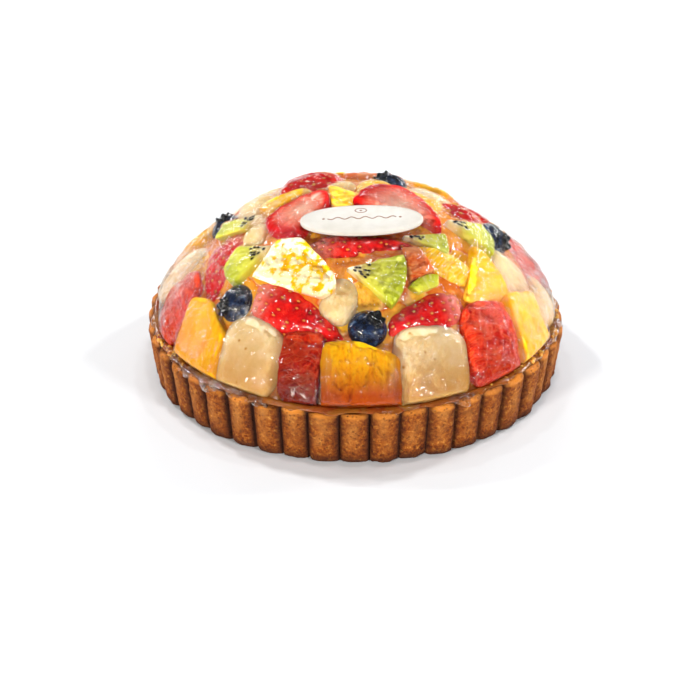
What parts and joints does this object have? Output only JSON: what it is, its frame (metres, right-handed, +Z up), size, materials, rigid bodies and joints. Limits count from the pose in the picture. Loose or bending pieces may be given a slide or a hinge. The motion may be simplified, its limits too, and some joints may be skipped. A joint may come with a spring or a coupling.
{
  "type": "fruit tart",
  "caption": "Round fluted pastry case with a jelly mound, a packed glossy dome of cut fruit and berries, and an oval white chocolate plaque on top.",
  "frame": {"origin": "centre of the case's flat underside", "axes": "+Z up through the dome of fruit, -Y towards the front, where the plaque faces"},
  "size_m": [0.15, 0.15, 0.0688],
  "materials": {
    "crust": "baked shortcrust, golden brown and crumbly",
    "jelly": "clear amber jelly, glossy",
    "white_chocolate": "ivory white chocolate, satin",
    "strawberry_skin": "red strawberry skin under glaze",
    "strawberry_flesh": "cut strawberry, pink with a red rim",
    "blueberry_skin": "dark blue skin with a pale bloom",
    "kiwi_flesh": "green kiwi flesh with black seeds",
    "mango_flesh": "deep yellow mango flesh",
    "pear_flesh": "pale translucent pear flesh",
    "grapefruit_flesh": "red grapefruit flesh",
    "orange_flesh": "orange segment",
    "papaya_flesh": "orange red papaya flesh"
  },
  "bodies": {
    "root": {"crust": "crust", "filling": "jelly", "plaque": "white_chocolate", "blueberry_1": "blueberry_skin", "blueberry_2": "blueberry_skin", "blueberry_3": "blueberry_skin", "blueberry_4": "blueberry_skin", "blueberry_5": "blueberry_skin", "slice_1": "strawberry_flesh", "slice_2": "strawberry_flesh", "strawberry_1": "strawberry_skin", "strawberry_2": "strawberry_skin", "strawberry_3": "strawberry_skin", "strawberry_4": "strawberry_skin", "strawberry_5": "strawberry_skin", "strawberry_6": "strawberry_skin", "strawberry_7": "strawberry_skin", "strawberry_8": "strawberry_skin", "kiwi_1": "kiwi_flesh", "kiwi_2": "kiwi_flesh", "kiwi_3": "kiwi_flesh", "kiwi_4": "kiwi_flesh", "kiwi_5": "kiwi_flesh", "kiwi_6": "kiwi_flesh", "kiwi_7": "kiwi_flesh", "orange_1": "orange_flesh", "orange_2": "orange_flesh", "mango_big": "mango_flesh", "mango_2": "mango_flesh", "mango_3": "mango_flesh", "mango_4": "mango_flesh", "mango_5": "mango_flesh", "papaya_1": "papaya_flesh", "pear_small_1": "pear_flesh", "pear_small_2": "pear_flesh", "pear_small_3": "pear_flesh", "pear_small_4": "pear_flesh", "pear_right": "pear_flesh", "pear_back": "pear_flesh", "papaya_2": "papaya_flesh", "mango_back": "mango_flesh", "mango_6": "mango_flesh", "pear_left": "pear_flesh", "mango_front_1": "mango_flesh", "pear_front_1": "pear_flesh", "mango_front_2": "mango_flesh", "pear_front_2": "pear_flesh", "grapefruit_front_1": "grapefruit_flesh", "grapefruit_front_2": "grapefruit_flesh", "grapefruit_front_3": "grapefruit_flesh", "mango_front_3": "mango_flesh", "pear_side_1": "pear_flesh", "grapefruit_back_1": "grapefruit_flesh", "mango_side_1": "mango_flesh", "pear_side_2": "pear_flesh", "grapefruit_back_2": "grapefruit_flesh", "mango_side_2": "mango_flesh", "pear_side_3": "pear_flesh", "mango_side_3": "mango_flesh", "pear_side_4": "pear_flesh"}
  },
  "joints": []
}
